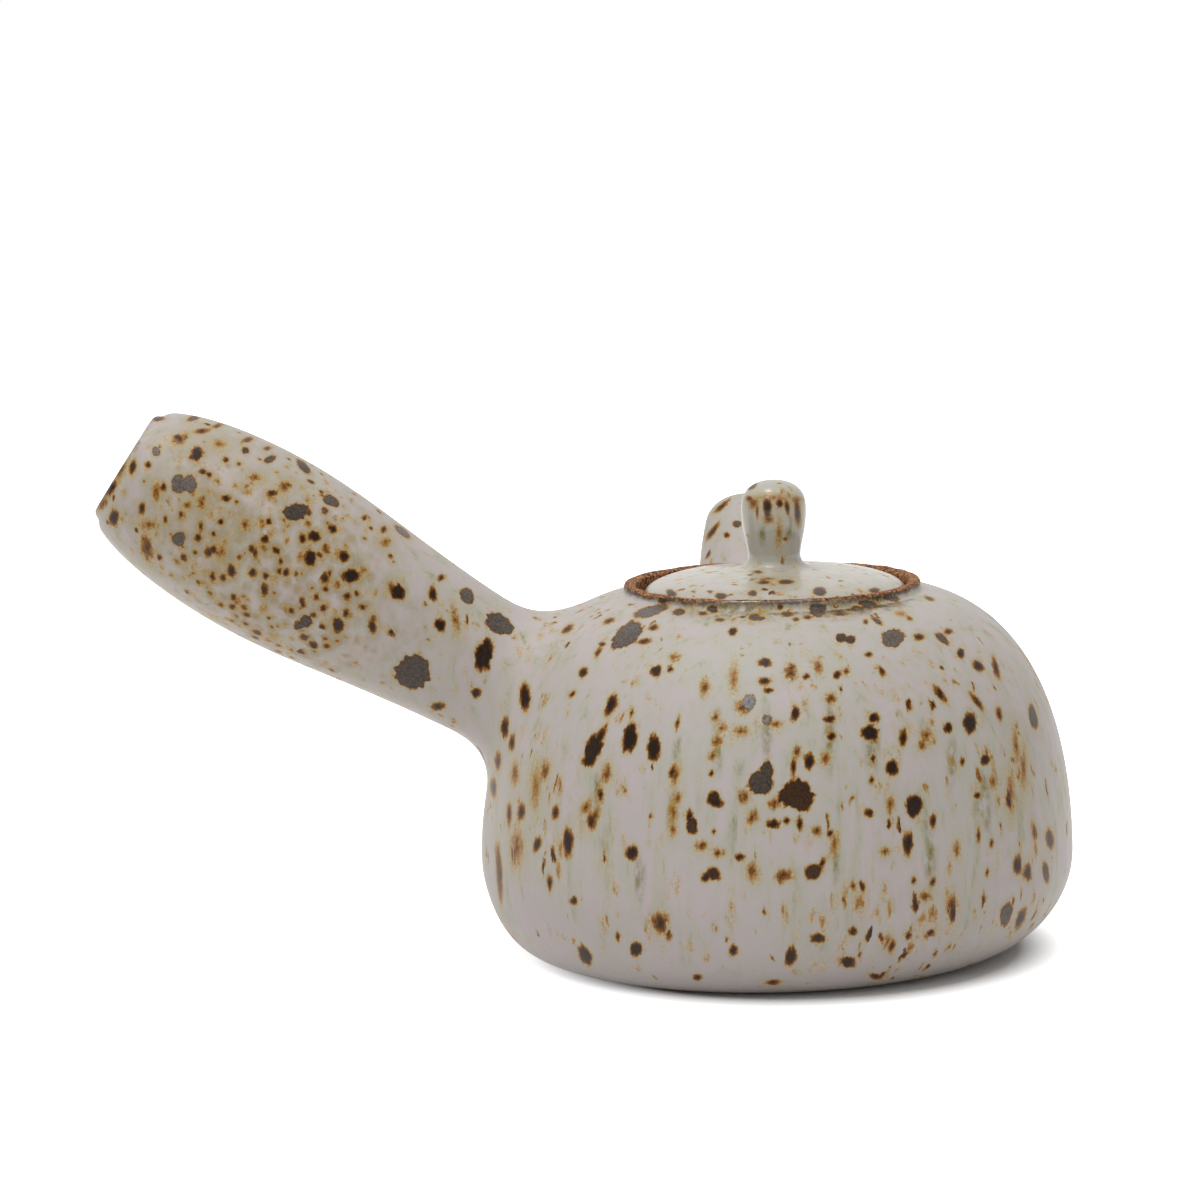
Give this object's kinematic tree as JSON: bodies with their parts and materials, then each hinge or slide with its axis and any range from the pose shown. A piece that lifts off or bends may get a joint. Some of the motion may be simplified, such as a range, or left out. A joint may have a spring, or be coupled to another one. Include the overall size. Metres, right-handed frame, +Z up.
{
  "type": "side-handle teapot",
  "caption": "Squat stoneware side-handle teapot with a hollow upswept handle, a short spout behind a pierced strainer dome, and a low domed lid with a knob that lifts out of its gallery.",
  "frame": {"origin": "centre of the flat base, on the surface the pot stands on", "axes": "+Z up along the body's turning axis; the handle points to -X and rises; the spout points to +Y and rises"},
  "size_m": [0.1708, 0.122, 0.0968],
  "materials": {
    "body_glaze": "satin glaze, pinkish grey with iron specks",
    "root_glaze": "satin glaze over a smoothed clay fillet",
    "lid_glaze": "satin greenish cream glaze with iron specks",
    "knob_glaze": "glossier greenish grey glaze with iron runs",
    "iron_clay": "unglazed rough iron stoneware"
  },
  "bodies": {
    "pot": {"body": "body_glaze", "handle": "body_glaze", "handle_joint": "root_glaze", "spout": "body_glaze", "spout_joint": "root_glaze", "strainer": "iron_clay", "strainer_joint": "iron_clay"},
    "lid": {"lid": "lid_glaze", "knob": "knob_glaze", "knob_joint": "knob_glaze"}
  },
  "joints": [
    {"name": "lid_lift", "type": "slide", "parent": "pot", "child": "lid", "axis": [0, 0, 1], "range_m": [0, 0.06]}
  ]
}
